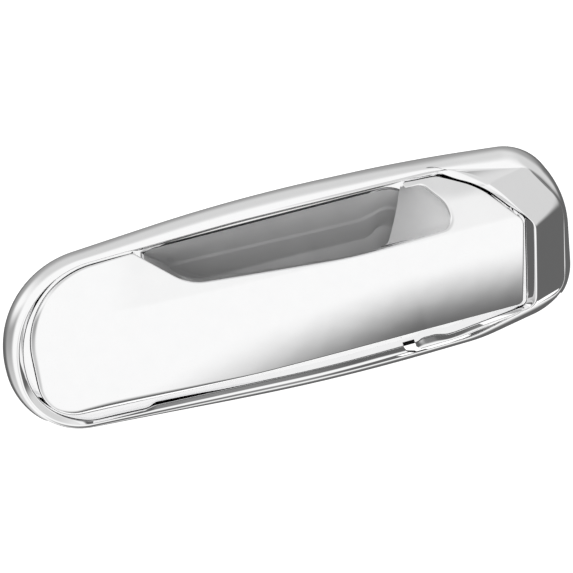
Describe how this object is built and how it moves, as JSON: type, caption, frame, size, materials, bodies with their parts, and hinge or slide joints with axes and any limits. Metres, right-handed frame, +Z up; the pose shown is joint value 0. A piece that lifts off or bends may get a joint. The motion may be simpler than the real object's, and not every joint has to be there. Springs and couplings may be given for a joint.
{
  "type": "car door handle cover",
  "caption": "Chrome stick-on cover for an outside car door handle: rounded frame with a finger bucket and raised end, and a crowned hollow lever cover with a scooped hub.",
  "frame": {"origin": "centre of the frame's outline, in the plane of its foot, which lies on the door skin", "axes": "+X along the handle towards its raised end, +Y into the door, +Z up the door; the front faces -Y"},
  "size_m": [0.2388, 0.0426, 0.0841],
  "materials": {
    "chrome": "polished",
    "foam_tape": "closed-cell foam"
  },
  "bodies": {
    "root": {"base_cover": "chrome", "lever_cover": "chrome", "base_tape_left": "foam_tape", "base_tape_right": "foam_tape", "base_tape_bucket": "foam_tape", "lever_tape_left": "foam_tape", "lever_tape_middle": "foam_tape", "lever_tape_right": "foam_tape"}
  },
  "joints": []
}
